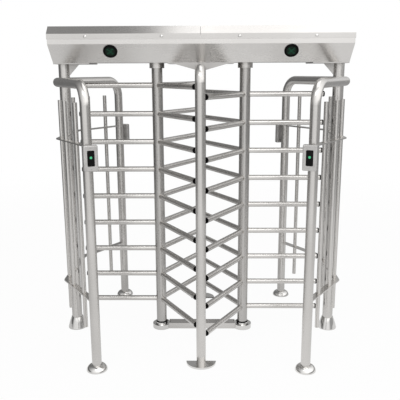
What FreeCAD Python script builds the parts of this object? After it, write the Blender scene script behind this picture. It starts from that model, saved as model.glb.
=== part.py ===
import FreeCAD, Part
import math
import os
import re
from types import SimpleNamespace

# Double full height turnstile in stainless steel tube.
# X runs along the header, Y runs through the passages (front is -Y), Z is up.
# The origin is on the floor, midway between the two rotors.

Vector = FreeCAD.Vector
UP = Vector(0, 0, 1)

doc = FreeCAD.newDocument("FullHeightTurnstile")
sheet = doc.addObject("Spreadsheet::Sheet", "Sizes")
nodes = []


SIZES = {
    # Rotors
    "rotor_spacing": 620,  # between the two rotor axes
    "wing_reach": 562,  # rotor axis to the tip of an arm
    "arm_levels": 9,  # arms one above another in a wing
    "arm_drop": 126,  # left rotor's top arms below the column's head
    "low_arm_height": 236,  # left rotor's lowest arms above the floor
    "rotor_stagger": 64,  # how much lower the right rotor's arms are
    "arm_dia": 38,  # arm tube
    "arm_wall": 2,  # arm tube wall
    "cap_length": 12,  # rubber cap past the arm tube
    "cap_lip": 0.5,  # cap radius over the arm tube
    "cap_round": 8,  # cap's rounded tip
    "plug_length": 24,  # cap plug inside the arm tube
    "column_dia": 76,  # rotor column tube
    "column_wall": 3,  # rotor column tube wall
    "foot_gap": 6,  # rotor column above its floor bearing
    "head_gap": 27,  # rotor column below the header
    "plug_depth": 28,  # solid plugs in the column ends
    "spindle_dia": 40,  # upper spindle of the rotor
    "spindle_rise": 89,  # upper spindle's end above the header's underside
    "running_fit": 0.05,  # radial clearance of a running fit

    # Posts, hoops and pillars
    "post_dia": 63.5,  # hoop tube
    "post_wall": 3,  # hoop tube wall
    "pillar_clear": 55,  # arm tip to an end pillar
    "centre_clear": 53.35,  # arm tip to a centre post
    "post_inset": 275,  # side hoop legs inward of the end pillars
    "post_y": 663,  # side hoop legs from the rotor line
    "hoop_drop": 130,  # centre line of the side hoop's top below the header
    "hoop_bend": 125,  # side hoop bend radius
    "hoop_bulge": 46,  # side hoop's outermost centre line past the end pillars
    "centre_bend": 85,  # centre hoop bend radius
    "pillar_dia": 76,  # end pillar tube
    "pillar_wall": 3,  # end pillar tube wall
    "weld_gap": 0.2,  # gap that a weld fills round a tube

    # Guards
    "guard_inset": 8,  # guard's straight run inward of the pillar's middle
    "guard_corner_y": 267,  # guard's corners from the rotor line
    "inner_guard_y": 198,  # guard tubes beside a pillar from the rotor line
    "middle_guard_share": 0.72,  # middle guard tube, share of the way from post to corner
    "outer_guard_share": 0.34,  # outer guard tube, share of the way from post to corner
    "guard_dia": 28,  # guard tube
    "guard_wall": 2,  # guard tube wall
    "guard_foot": 243,  # lower end of a guard tube
    "guard_drop": 115,  # upper end of a guard tube below the side hoop's top
    "band_width": 44,  # guard band
    "band_thickness": 8,  # guard band
    "band_corner": 40,  # round of a band's outer corner
    "upper_band_height": 1490,  # middle of the upper band
    "lower_band_height": 481,  # middle of the lower band

    # Feet
    "flange_radius": 64,  # post flange
    "flange_thickness": 6,  # post flange
    "half_flange_radius": 96,  # half round flange of a centre post
    "cover_radius": 69,  # round cover of a foot
    "cover_lip": 6,  # upright edge of a round cover
    "post_cover_height": 38,  # cover on a side hoop's leg
    "post_cover_bulge": 7,  # how far its slope rounds out
    "pillar_cover_height": 88,  # tall cover on an end pillar
    "pillar_cover_bulge": 2,  # how far its slope rounds out
    "half_cover_radius": 100,  # half round cover of a centre post
    "half_cover_height": 13,  # half round cover of a centre post
    "cover_sheet": 2,  # cover sheet
    "cover_gap": 0.3,  # cover to tube
    "bolt_inset": 13,  # tube surface to bolt hole axis
    "bolt_hole": 13,  # bolt hole in a flange
    "half_bolt_x": 65,  # centre post's bolt holes from the middle
    "half_bolt_y": 30,  # centre post's bolt holes past its middle

    # Floor bearings and the beam between them
    "bearing_radius": 68,  # floor bearing drum
    "bearing_drum": 34,  # floor bearing drum height
    "neck_height": 12,  # floor bearing above its drum
    "neck_flare": 3,  # neck's foot past its top
    "bearing_neck": 42,  # floor bearing top radius
    "bearing_bolt": 10,  # bolts in a drum
    "bolt_head_height": 5,  # their heads
    "bolt_ring": 54,  # bolts from the rotor axis
    "bolt_socket": 3.5,  # six sided socket in a head, to its corners
    "socket_depth": 3,  # socket in a head
    "pin_dia": 30,  # floor bearing pin
    "pin_height": 29,  # floor bearing pin
    "beam_width": 76,  # base beam
    "beam_height": 44,  # base beam
    "beam_wall": 3,  # base beam wall
    "seal_height": 9,  # rubber collar round the column's foot
    "seal_wall": 3,  # rubber collar

    # Header
    "header_bottom": 1989,  # underside of the header
    "slant_height": 119,  # header's slanted face
    "rim_height": 58,  # upright edge of the trough over the slanted face
    "header_overhang": 36,  # header's underside past the end pillars' middle
    "header_depth": 300,  # header at its underside
    "header_flare_x": 11.5,  # how far each end leans out
    "header_flare_y": 82,  # how far each face leans out
    "header_wall": 3,  # header sheet
    "skirt_overlap": 27,  # lid's skirt over the trough's edge
    "skirt_height": 35,  # lid's skirt
    "roof_height": 51,  # lid's roof over its skirt
    "lid_bevel": 50,  # how far the lid slopes in
    "lid_wall": 2.5,  # lid sheet
    "lid_gap": 0.3,  # lid to trough
    "lid_seam": 2,  # gap between the two lids
    "screw_inset": 252.5,  # first lid screw from the header's end
    "screw_pitch": 503.5,  # between a lid's two screws
    "screw_rise": 17,  # lid screws above the skirt's lower edge
    "screw_head": 20,  # lid screw head
    "screw_dome": 5,  # lid screw head height
    "screw_dia": 8,  # lid screw thread
    "plate_thickness": 8,  # bracket plates and gussets
    "side_plate": 245,  # plate on an end pillar
    "centre_plate": 450,  # plate on the centre hoop
    "side_gusset_x": 70,  # gusset on an end pillar
    "side_gusset_z": 76,  # gusset on an end pillar
    "centre_gusset_x": 150,  # gusset on the centre hoop
    "centre_gusset_z": 46,  # gusset on the centre hoop
    "housing_radius": 52,  # top bearing housing
    "housing_height": 36,  # top bearing housing
    "race_radius": 36,  # top bearing outer race
    "race_height": 18,  # top bearing
    "throat_gap": 2,  # column to the housing's throat

    # Indicator lamps
    "lamp_inset": 399.5,  # lamps from the header's ends
    "lamp_rise": 74,  # lamps above the header's underside
    "bezel_radius": 48,  # lamp bezel
    "bezel_thickness": 6,  # lamp bezel
    "lens_radius": 33,  # lamp lens
    "lens_thickness": 2,  # lamp lens
    "lens_sink": 1,  # lens below the bezel's face
    "bezel_edge": 2,  # lamp bezel's rounded edge
    "barrel_radius": 30,  # lamp barrel behind the face
    "barrel_length": 34,  # lamp barrel behind the face

    # Card readers
    "reader_width": 88,  # card reader
    "reader_depth": 40,  # card reader
    "reader_height": 157,  # card reader
    "reader_centre": 1422,  # card reader's middle above the floor
    "reader_turn": 22,  # degrees that a reader faces into its lane
    "reader_shift": 8,  # reader's middle from the post's middle
    "reader_standoff": 6,  # reader's back from the post
    "saddle_width": 38,  # saddle between a reader and its post
    "saddle_height": 94,  # saddle between a reader and its post
    "reader_edge": 7,  # reader's rounded edges
    "window_width": 44,  # reader window
    "window_height": 96,  # reader window
    "window_depth": 3,  # reader window
    "window_recess": 2,  # recess for the window
    "window_corner": 6,  # reader window's rounded corners

    # Index and lock work in the header, about each rotor axis
    "disc_radius": 75,  # index disc
    "disc_thickness": 12,  # index disc
    "disc_rise": 52,  # index disc above the header's floor
    "notch_count": 12,  # notches in the index disc
    "hub_radius": 32,  # index disc hub
    "hub_height": 32,  # index disc hub
    "roller_radius": 11,  # index roller
    "roller_play": 1.3,  # roller in its notch
    "rim_clearance": 2,  # roller and tooth off the disc at rest
    "lever_pivot_x": 80,  # pivots from the rotor axis along X
    "pivot_y": 81.5,  # pivots from the rotor axis along Y
    "lever_width": 20,  # index lever
    "lever_thickness": 10,  # index lever
    "lever_nose": 16,  # index lever past its roller pin
    "lever_drop": 14,  # underside of the index lever below the disc
    "pivot_dia": 8,  # pivot stud
    "shoulder_radius": 12,  # pivot stud shoulder
    "roller_pin": 8,  # index roller pin
    "pin_stand": 4,  # roller pin past the roller
    "stud_stand": 2,  # pivot stud past the disc
    "pawl_width": 16,  # lock pawl arm
    "pawl_bow": 99,  # pawl arm's middle from the rotor axis at the tooth
    "plunger_dia": 10,  # solenoid plunger
    "plunger_x": 35,  # plunger from the rotor axis along X
    "plunger_hold": 25,  # plunger inside the solenoid
    "bore_spare": 4,  # solenoid bore past the plunger
    "plunger_gap": 0.5,  # plunger to pawl at rest
    "coil_side": 36,  # solenoid body
    "coil_back": 156,  # solenoid body's back from the rotor axis
    "spring_radius": 8,  # index spring
    "spring_wire": 2,  # index spring wire
    "spring_turns": 7,  # index spring turns
    "spring_x": 10,  # index spring's middle from the rotor axis along X
    "tab_width": 30,  # tab that the index spring rests on
    "spring_stop": 140,  # index spring's seat from the rotor axis
    "box_length": 200,  # control box
    "box_depth": 120,  # control box
    "box_height": 90,  # control box
}

S = SimpleNamespace(**SIZES)

# Places and heights that follow from the sizes
S.pillar_x = S.rotor_spacing / 2 + S.wing_reach + S.pillar_clear + S.pillar_dia / 2
S.post_x = S.pillar_x - S.post_inset
S.guard_x = S.pillar_x - S.guard_inset
S.hoop_reach = S.pillar_x + S.hoop_bulge
S.centre_reach = S.wing_reach + S.centre_clear + S.post_dia / 2
S.centre_y = math.sqrt(S.centre_reach ** 2 - (S.rotor_spacing / 2) ** 2)
S.header_length = (S.pillar_x + S.header_overhang) * 2
S.lamp_x = S.header_length / 2 - S.lamp_inset

S.bearing_height = S.bearing_drum + S.neck_height
S.pin_top = S.bearing_height + S.pin_height
S.column_foot = S.bearing_height + S.foot_gap
S.column_head = S.header_bottom - S.head_gap
S.spindle_top = S.header_bottom + S.spindle_rise
S.top_arm_height = S.column_head - S.arm_drop
S.arm_pitch = (S.top_arm_height - S.low_arm_height) / (S.arm_levels - 1)
S.hoop_height = S.header_bottom - S.hoop_drop
S.guard_head = S.hoop_height - S.guard_drop

S.header_knee = S.header_bottom + S.slant_height
S.header_rim = S.header_knee + S.rim_height
S.lid_skirt_foot = S.header_rim - S.skirt_overlap
S.lid_skirt_head = S.lid_skirt_foot + S.skirt_height
S.lid_top = S.lid_skirt_head + S.roof_height
S.screw_height = S.lid_skirt_foot + S.screw_rise
S.lamp_z = S.header_bottom + S.lamp_rise
S.disc_foot = S.header_bottom + S.header_wall + S.disc_rise
S.lever_foot = S.disc_foot - S.lever_drop

for row, (alias, value) in enumerate(vars(S).items(), 1):
    sheet.set("A%d" % row, str(value))
    sheet.setAlias("A%d" % row, alias)
doc.recompute()


# Building blocks

def formula(text):
    return re.sub(r"[a-z_]+", lambda word: "Sizes." + word.group() if hasattr(S, word.group())
                  else word.group(), text)


def bind(thing, **sizes):
    for name, text in sizes.items():
        path = ".Placement.Base." + name if name in ("x", "y", "z") else name
        thing.setExpression(path, formula(text))
    return thing


def box(length, width, height, x="0", y="0", z="0"):
    return bind(doc.addObject("Part::Box", "Box"), Length=length, Width=width, Height=height,
                x=x, y=y, z=z)


def rod(radius, height, x="0", y="0", z="0", along=UP):
    thing = doc.addObject("Part::Cylinder", "Rod")
    thing.Placement.Rotation = FreeCAD.Rotation(UP, along)
    return bind(thing, Radius=radius, Height=height, x=x, y=y, z=z)


def cone(lower, upper, height, x="0", y="0", z="0"):
    return bind(doc.addObject("Part::Cone", "Cone"), Radius1=lower, Radius2=upper, Height=height,
                x=x, y=y, z=z)


def frustum(half_x, half_y, top_half_x, top_half_y, height, z):
    # A box whose four sides lean: its own length axis is turned upright.
    thing = doc.addObject("Part::Wedge", "Frustum")
    thing.Placement.Rotation = FreeCAD.Rotation(Vector(1, 0, 0), 90)
    return bind(thing, Xmin="-(%s)" % half_x, Xmax=half_x, Zmin="-(%s)" % half_y, Zmax=half_y,
                X2min="-(%s)" % top_half_x, X2max=top_half_x,
                Z2min="-(%s)" % top_half_y, Z2max=top_half_y, Ymin="0", Ymax=height, z=z)


def cut(base, *tools):
    for tool in tools:
        thing = doc.addObject("Part::Cut", "Cut")
        thing.Base = base
        thing.Tool = tool
        base = thing
    return base


def fuse(*things):
    thing = doc.addObject("Part::MultiFuse", "Fuse")
    thing.Shapes = list(things)
    return thing


def group(things):
    thing = doc.addObject("Part::Compound", "Group")
    thing.Links = list(things)
    return thing


def feature(shape, place=None):
    thing = doc.addObject("Part::Feature", "Feature")
    thing.Shape = shape
    if place:
        thing.Placement = place
    return thing


def node(label, thing):
    thing.Label = label
    nodes.append(thing)
    return thing


def tube(radius, wall, height, x="0", y="0", z="0", along=UP):
    return cut(rod(radius, height, x, y, z, along),
               rod("(%s) - (%s)" % (radius, wall), height, x, y, z, along))


def prism(points, depth):
    outline = Part.makePolygon(points + points[:1])
    return Part.Face(outline).extrude(depth)


def side_name(side):
    return "left" if side < 0 else "right"


def turned_yaw(degrees):
    return Vector(math.cos(math.radians(degrees)), math.sin(math.radians(degrees)), 0)


def signed(side, text):
    return text if side > 0 else "-(%s)" % text


# Hoops of bent tube

def bent_tube(points, bends, radius, wall):
    # Straight runs between the points, joined by arcs tangent to both runs.
    edges = []
    start = points[0]
    for here, before, after, bend in zip(points[1:-1], points[:-2], points[2:], bends):
        back = (before - here).normalize()
        ahead = (after - here).normalize()
        half = back.getAngle(ahead) / 2
        reach = bend / math.tan(half)
        bisector = (back + ahead).normalize()
        entry = here + back * reach
        middle = here + bisector * (bend / math.sin(half) - bend)
        leave = here + ahead * reach
        edges.append(Part.LineSegment(start, entry).toShape())
        edges.append(Part.Arc(entry, middle, leave).toShape())
        start = leave
    edges.append(Part.LineSegment(start, points[-1]).toShape())
    path = Part.Wire(edges)

    def swept(tube_radius):
        ring = Part.Wire(Part.makeCircle(tube_radius, points[0], points[1] - points[0]))
        return path.makePipeShell([ring], True, False)

    return swept(radius).cut(swept(radius - wall))


def side_hoop(side):
    run_angle = math.atan2(S.hoop_reach - S.post_x, S.post_y)
    # The two runs meet outside the rounded corner, so the lean is settled in a few rounds.
    for _ in range(20):
        corner = S.hoop_reach + S.hoop_bend * (1 / math.cos(run_angle) - 1)
        run_angle = math.atan2(corner - S.post_x, S.post_y)
    points = [Vector(side * S.post_x, -S.post_y, S.flange_thickness),
              Vector(side * S.post_x, -S.post_y, S.hoop_height),
              Vector(side * corner, 0, S.hoop_height),
              Vector(side * S.post_x, S.post_y, S.hoop_height),
              Vector(side * S.post_x, S.post_y, S.flange_thickness)]
    hoop = feature(bent_tube(points, [S.hoop_bend] * 3, S.post_dia / 2, S.post_wall))
    pillar_space = rod("pillar_dia / 2 + weld_gap", "post_dia * 2", signed(side, "pillar_x"), "0",
                       "hoop_height - post_dia")
    node(side_name(side) + "_side_hoop", cut(hoop, pillar_space))


def centre_hoop():
    height = S.header_bottom - S.plate_thickness - S.post_dia / 2
    points = [Vector(0, -S.centre_y, 0), Vector(0, -S.centre_y, height),
              Vector(0, S.centre_y, height), Vector(0, S.centre_y, 0)]
    node("centre_hoop", feature(bent_tube(points, [S.centre_bend] * 2, S.post_dia / 2, S.post_wall)))


# Pillars, brackets, guards

def pillar(side):
    node(side_name(side) + "_pillar",
         tube("pillar_dia / 2", "pillar_wall", "header_bottom - plate_thickness - flange_thickness",
              signed(side, "pillar_x"), "0", "flange_thickness"))


def gusset(side, start, reach, drop, middle_y):
    top = S.header_bottom - S.plate_thickness
    corner = Vector(side * start, middle_y - S.plate_thickness / 2, top)
    points = [corner, corner + Vector(side * reach, 0, 0), corner - Vector(0, 0, drop)]
    return feature(prism(points, Vector(0, S.plate_thickness, 0)))


def side_bracket(side):
    plate = box("side_plate", "header_depth", "plate_thickness",
                "header_length / 2 - side_plate" if side > 0 else "-header_length / 2",
                "-header_depth / 2", "header_bottom - plate_thickness")
    web = gusset(-side, -(S.pillar_x - S.pillar_dia / 2), S.side_gusset_x, S.side_gusset_z, 0)
    node(side_name(side) + "_header_bracket", fuse(plate, web))


def centre_bracket():
    plate = box("centre_plate", "header_depth", "plate_thickness", "-centre_plate / 2",
                "-header_depth / 2", "header_bottom - plate_thickness")
    inset = S.header_depth / 2 - S.plate_thickness / 2
    webs = [gusset(side, S.post_dia / 4, S.centre_gusset_x + S.post_dia / 4,
                   S.centre_gusset_z, front * inset)
            for side in (-1, 1) for front in (-1, 1)]
    tube_space = rod("post_dia / 2", "centre_y", "0", "-centre_y / 2",
                     "header_bottom - plate_thickness - post_dia / 2", Vector(0, 1, 0))
    node("centre_header_bracket", cut(fuse(plate, *webs), tube_space))


def guard_places(side):
    # Three tubes each side of the pillar: one on the straight run, two on the leg to the post.
    places = []
    for front in (-1, 1):
        places.append((signed(side, "guard_x"), signed(front, "inner_guard_y")))
        for share in ("middle_guard_share", "outer_guard_share"):
            places.append((signed(side, "post_x + (guard_x - post_x) * " + share),
                           signed(front, "post_y + (guard_corner_y - post_y) * " + share)))
    return places


def guard_tubes(side):
    tubes = []
    for x, y in guard_places(side):
        shell = rod("guard_dia / 2", "guard_head - guard_foot", x, y, "guard_foot")
        hollow = rod("guard_dia / 2 - guard_wall", "guard_head - guard_foot - guard_wall * 2",
                     x, y, "guard_foot + guard_wall")
        tubes.append(cut(shell, hollow))
    node(side_name(side) + "_guard_tubes", group(tubes))


def guard_band(side, level):
    # Two flat bars, each from a post round a corner to the pillar.
    middle = getattr(S, level + "_band_height")
    half = S.band_width / 2
    bars = []
    for front in (-1, 1):
        post = Vector(side * S.post_x, front * S.post_y, middle - S.band_thickness / 2)
        corner = Vector(side * S.guard_x, front * S.guard_corner_y, post.z)
        across = (corner - post).normalize().cross(UP) * half
        if across.x * side < 0:
            across = -across
        turn = math.atan2(S.guard_x - S.post_x, S.post_y - S.guard_corner_y)
        mitre = Vector(side * half, front * half * math.tan(turn / 2), 0)
        run = Vector(0, -front * S.guard_corner_y, 0)
        beside = Vector(side * half, 0, 0)
        bar = prism([post + across, corner + mitre, corner + run + beside, corner + run - beside,
                     corner - mitre, post - across], UP * S.band_thickness)
        outer_edge = [edge for edge in bar.Edges
                      if edge.CenterOfMass.isEqual(corner + mitre + UP * S.band_thickness / 2, 1)]
        bars.append(feature(bar.makeFillet(S.band_corner, outer_edge)))
    height = "%s_band_height - band_thickness / 2" % level
    spaces = [rod("pillar_dia / 2 + weld_gap", "band_thickness", signed(side, "pillar_x"), "0", height)]
    for front in (-1, 1):
        spaces.append(rod("post_dia / 2 + weld_gap", "band_thickness", signed(side, "post_x"),
                          signed(front, "post_y"), height))
    for x, y in guard_places(side):
        spaces.append(rod("guard_dia / 2 + weld_gap", "band_thickness", x, y, height))
    node("%s_%s_band" % (side_name(side), level), cut(group(bars), group(spaces)))


# Feet

def foot_places():
    places = []
    for side in (-1, 1):
        places.append((side * S.pillar_x, 0, "pillar"))
        for front in (-1, 1):
            places.append((side * S.post_x, front * S.post_y, "post"))
    return places


def bolt_places():
    places = []
    for x, y, kind in foot_places():
        ring = getattr(S, kind + "_dia") / 2 + S.bolt_inset
        for quarter in range(4):
            places.append(Vector(x, y, 0) + turned_yaw(45 + 90 * quarter) * ring)
    for front in (-1, 1):
        for side in (-1, 1):
            places.append(Vector(side * S.half_bolt_x, front * (S.centre_y + S.half_bolt_y), 0))
    return places


def half_round(radius, height, front, z="0"):
    # A half disc on the outer side of a centre post.
    disc = rod(radius, height, "0", signed(front, "centre_y"), z)
    disc.Angle = 180
    disc.Placement.Rotation = FreeCAD.Rotation(UP, 0 if front > 0 else 180)
    return disc


def post_flanges():
    flanges = []
    for x, y, _ in foot_places():
        flanges.append(rod("flange_radius", "flange_thickness", str(x), str(y)))
    for front in (-1, 1):
        space = rod("post_dia / 2 + weld_gap", "flange_thickness", "0", signed(front, "centre_y"))
        flanges.append(cut(half_round("half_flange_radius", "flange_thickness", front), space))
    holes = [rod("bolt_hole / 2", "flange_thickness", str(spot.x), str(spot.y)) for spot in bolt_places()]
    node("post_flanges", cut(group(flanges), group(holes)))


def domed(foot_radius, head_radius, height, bulge):
    # An upright lip, then a slope that rounds out, turned about the tube's axis.
    foot = Vector(foot_radius, 0, S.cover_lip)
    head = Vector(head_radius, 0, height)
    outward = (foot - head).cross(Vector(0, 1, 0)).normalize()
    crown = (foot + head) * 0.5 + outward * bulge
    rim = Vector(foot_radius, 0, 0)
    top = Vector(0, 0, height)
    edges = [Part.LineSegment(Vector(), rim), Part.LineSegment(rim, foot), Part.Arc(foot, crown, head),
             Part.LineSegment(head, top), Part.LineSegment(top, Vector())]
    profile = Part.Face(Part.Wire([edge.toShape() for edge in edges]))
    return profile.revolve(Vector(), UP, 360)


def foot_covers():
    covers = []
    for x, y, kind in foot_places():
        tube_radius = getattr(S, kind + "_dia") / 2
        height = getattr(S, kind + "_cover_height")
        bulge = getattr(S, kind + "_cover_bulge")
        shell = domed(S.cover_radius, tube_radius + S.cover_sheet * 2, height, bulge)
        hollow = domed(S.cover_radius - S.cover_sheet, tube_radius + S.cover_sheet,
                       height - S.cover_sheet, bulge)
        passage = Part.makeCylinder(tube_radius + S.cover_gap, height)
        covers.append(feature(shell.cut(hollow).cut(passage), FreeCAD.Placement(Vector(x, y, 0),
                                                                               FreeCAD.Rotation())))
    for front in (-1, 1):
        shell = half_round("half_cover_radius", "half_cover_height", front)
        hollow = half_round("half_cover_radius - cover_sheet", "half_cover_height - cover_sheet", front)
        passage = rod("post_dia / 2 + cover_gap", "half_cover_height", "0", signed(front, "centre_y"))
        covers.append(cut(shell, hollow, passage))
    node("foot_covers", group(covers))


# Rotors

def rotor_x(side):
    return signed(side, "rotor_spacing / 2")


def bearing_bolt_places():
    places = []
    for side in (-1, 1):
        for quarter in range(4):
            spot = turned_yaw(45 + 90 * quarter) * S.bolt_ring
            places.append((str(side * S.rotor_spacing / 2 + spot.x), str(spot.y)))
    return places


def floor_bearings():
    housings = []
    for side in (-1, 1):
        x = rotor_x(side)
        drum = rod("bearing_radius", "bearing_drum", x)
        neck = cone("bearing_neck + neck_flare", "bearing_neck", "neck_height", x, "0", "bearing_drum")
        pin = rod("pin_dia / 2", "pin_height", x, "0", "bearing_height")
        housings.append(fuse(drum, neck, pin))
    holes = [rod("bearing_bolt / 2", "bearing_drum", x, y) for x, y in bearing_bolt_places()]
    node("floor_bearing_housings", cut(group(housings), group(holes)))


def bearing_bolts():
    bolts = []
    for x, y in bearing_bolt_places():
        shank = rod("bearing_bolt / 2", "bearing_drum", x, y)
        head = cone("bearing_bolt * 0.8", "bearing_bolt * 0.65", "bolt_head_height", x, y, "bearing_drum")
        socket = bind(doc.addObject("Part::Prism", "Socket"), Circumradius="bolt_socket",
                      Height="socket_depth", x=x, y=y, z="bearing_drum + bolt_head_height - socket_depth")
        bolts.append(cut(fuse(shank, head), socket))
    node("bearing_bolts", group(bolts))


def base_beam():
    shell = box("rotor_spacing", "beam_width", "beam_height", "-rotor_spacing / 2", "-beam_width / 2")
    hollow = box("rotor_spacing", "beam_width - beam_wall * 2", "beam_height - beam_wall * 2",
                 "-rotor_spacing / 2", "-beam_width / 2 + beam_wall", "beam_wall")
    ends = [rod("bearing_radius + weld_gap", "beam_height", rotor_x(side)) for side in (-1, 1)]
    node("base_beam", cut(shell, hollow, *ends))


def column_seals():
    seals = []
    for side in (-1, 1):
        x = rotor_x(side)
        seals.append(cut(rod("column_dia / 2 + seal_wall", "seal_height", x, "0", "bearing_height"),
                         rod("column_dia / 2 + cover_gap", "seal_height", x, "0", "bearing_height")))
    node("column_seals", group(seals))


def rotor_column(side):
    x = rotor_x(side)
    shell = tube("column_dia / 2", "column_wall", "column_head - column_foot", x, "0", "column_foot")
    lower_plug = rod("column_dia / 2 - column_wall", "plug_depth", x, "0", "column_foot")
    pin_bore = rod("pin_dia / 2 + running_fit", "pin_top - column_foot + throat_gap / 2",
                   x, "0", "column_foot")
    upper_plug = rod("column_dia / 2 - column_wall", "plug_depth", x, "0", "column_head - plug_depth")
    spindle = rod("spindle_dia / 2", "spindle_top - column_head + plug_depth / 2", x, "0",
                  "column_head - plug_depth / 2")
    node(side_name(side) + "_rotor_column", fuse(shell, cut(lower_plug, pin_bore), upper_plug, spindle))


def arm_heights(side):
    top = "top_arm_height" if side < 0 else "top_arm_height - rotor_stagger"
    return ["%s - arm_pitch * %d" % (top, level) for level in range(S.arm_levels)]


def wing_yaws(side):
    outward = 180 if side < 0 else 0
    toward_front = 1 if side < 0 else -1
    return {"outer": outward, "front": outward + toward_front * 120, "rear": outward - toward_front * 120}


def wing(side, name, yaw):
    x = rotor_x(side)
    along = turned_yaw(yaw)
    heights = arm_heights(side)
    tubes = [rod("arm_dia / 2", "wing_reach - cap_length", x, "0", z, along) for z in heights]
    bores = [rod("arm_dia / 2 - arm_wall", "wing_reach - cap_length", x, "0", z, along) for z in heights]
    column_space = rod("column_dia / 2", "column_head", x)
    node("%s_rotor_%s_wing" % (side_name(side), name), cut(group(tubes), group(bores), column_space))


def arm_caps(side):
    # A rounded rubber cap with a plug that sits in the arm tube.
    along = Vector(1, 0, 0)
    start = Vector(S.wing_reach - S.cap_length, 0, 0)
    head = Part.makeCylinder(S.arm_dia / 2 + S.cap_lip, S.cap_length, start, along)
    tip_edge = [edge for edge in head.Edges if edge.Vertexes[0].X > S.wing_reach - 1
                and edge.Vertexes[-1].X > S.wing_reach - 1]
    head = head.makeFillet(S.cap_round, tip_edge)
    plug_start = start - along * S.plug_length
    plug = Part.makeCylinder(S.arm_dia / 2 - S.arm_wall, S.plug_length, plug_start, along)
    cap = head.fuse(plug)
    caps = []
    top = S.top_arm_height - (S.rotor_stagger if side > 0 else 0)
    for yaw in wing_yaws(side).values():
        for level in range(S.arm_levels):
            copy = cap.copy()
            middle = Vector(side * S.rotor_spacing / 2, 0, top - S.arm_pitch * level)
            copy.Placement = FreeCAD.Placement(middle, FreeCAD.Rotation(UP, yaw))
            caps.append(copy)
    node(side_name(side) + "_arm_caps", feature(Part.makeCompound(caps)))


def top_housing(side):
    x = rotor_x(side)
    foot = "header_bottom - housing_height"
    throat = rod("column_dia / 2 + throat_gap", "column_head - header_bottom + housing_height + throat_gap",
                 x, "0", foot)
    seat = rod("race_radius", "header_bottom - column_head - throat_gap * 3", x, "0",
               "column_head + throat_gap")
    passage = rod("spindle_dia / 2 + throat_gap", "housing_height", x, "0", foot)
    node(side_name(side) + "_top_housing",
         cut(rod("housing_radius", "housing_height", x, "0", foot), throat, seat, passage))


def top_bearings():
    rings = []
    for side in (-1, 1):
        x = rotor_x(side)
        z = "header_bottom - throat_gap * 2 - race_height"
        rings.append(cut(rod("race_radius", "race_height", x, "0", z),
                         rod("spindle_dia / 2 + running_fit", "race_height", x, "0", z)))
    node("top_bearings", group(rings))


# Header

def lamp_places():
    # Each lamp faces squarely out of the slanted face.
    lean = math.degrees(math.atan2(S.header_flare_y, S.header_knee - S.header_bottom))
    share = (S.lamp_z - S.header_bottom) / (S.header_knee - S.header_bottom)
    face_y = S.header_depth / 2 + S.header_flare_y * share
    places = []
    for side in (-1, 1):
        for front in (-1, 1):
            out = FreeCAD.Rotation(Vector(1, 0, 0), -front * (90 + lean))
            places.append(FreeCAD.Placement(Vector(side * S.lamp_x, front * face_y, S.lamp_z), out))
    return places


def screw_places():
    places = []
    first = S.header_length / 2 + S.header_flare_x - S.screw_inset
    for x in (-first, -first + S.screw_pitch, first - S.screw_pitch, first):
        for front in (-1, 1):
            places.append((x, front))
    return places


def header_body():
    leaning = frustum("header_length / 2", "header_depth / 2", "header_length / 2 + header_flare_x",
                      "header_depth / 2 + header_flare_y", "header_knee - header_bottom", "header_bottom")
    upright = box("header_length + header_flare_x * 2", "header_depth + header_flare_y * 2",
                  "header_rim - header_knee", "-header_length / 2 - header_flare_x",
                  "-header_depth / 2 - header_flare_y", "header_knee")
    inner_leaning = frustum("header_length / 2 - header_wall", "header_depth / 2 - header_wall",
                            "header_length / 2 + header_flare_x - header_wall",
                            "header_depth / 2 + header_flare_y - header_wall",
                            "header_knee - header_bottom - header_wall", "header_bottom + header_wall")
    inner_upright = box("header_length + header_flare_x * 2 - header_wall * 2",
                        "header_depth + header_flare_y * 2 - header_wall * 2",
                        "header_rim - header_knee", "-header_length / 2 - header_flare_x + header_wall",
                        "-header_depth / 2 - header_flare_y + header_wall", "header_knee")
    trough = cut(fuse(leaning, upright), fuse(inner_leaning, inner_upright))
    openings = [rod("spindle_dia / 2 + throat_gap", "header_wall", rotor_x(side), "0", "header_bottom")
                for side in (-1, 1)]
    for place in lamp_places():
        barrel = Part.makeCylinder(S.barrel_radius + S.cover_gap, S.header_wall * 8,
                                   Vector(0, 0, -S.header_wall * 4))
        openings.append(feature(barrel, place))
    for x, front in screw_places():
        wall_y = front * (S.header_depth / 2 + S.header_flare_y)
        openings.append(rod("screw_dia / 2", "header_wall * 4", str(x), "%f - header_wall * 2" % wall_y,
                            "screw_height", Vector(0, 1, 0)))
    tab_height = "lever_foot + lever_thickness + spring_radius - header_bottom - header_wall"
    tabs = [box("tab_width", "plate_thickness", tab_height,
                "%s + spring_x - tab_width / 2" % rotor_x(side), "spring_stop",
                "header_bottom + header_wall") for side in (-1, 1)]
    node("header_body", fuse(cut(trough, group(openings)), *tabs))


def lid(side):
    def filled(grow, top_drop):
        # Skirt and sloping roof, as one outline along X.
        half = S.header_depth / 2 + S.header_flare_y + S.lid_gap + grow
        crown = half - S.lid_bevel
        reach = S.header_length / 2 + S.header_flare_x + S.lid_gap + grow - S.lid_seam / 2
        x = side * S.lid_seam / 2
        outline = [Vector(x, -half, S.lid_skirt_foot), Vector(x, -half, S.lid_skirt_head),
                   Vector(x, -crown, S.lid_top - top_drop), Vector(x, crown, S.lid_top - top_drop),
                   Vector(x, half, S.lid_skirt_head), Vector(x, half, S.lid_skirt_foot)]
        return prism(outline, Vector(side * reach, 0, 0))

    shell = feature(filled(S.lid_wall, 0).cut(filled(0, S.lid_wall)))
    holes = []
    for x, front in screw_places():
        if x * side > 0:
            wall_y = front * (S.header_depth / 2 + S.header_flare_y)
            holes.append(rod("screw_dia / 2", "header_wall * 4", str(x), "%f - header_wall * 2" % wall_y,
                             "screw_height", Vector(0, 1, 0)))
    node(side_name(side) + "_lid", cut(shell, group(holes)))


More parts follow.
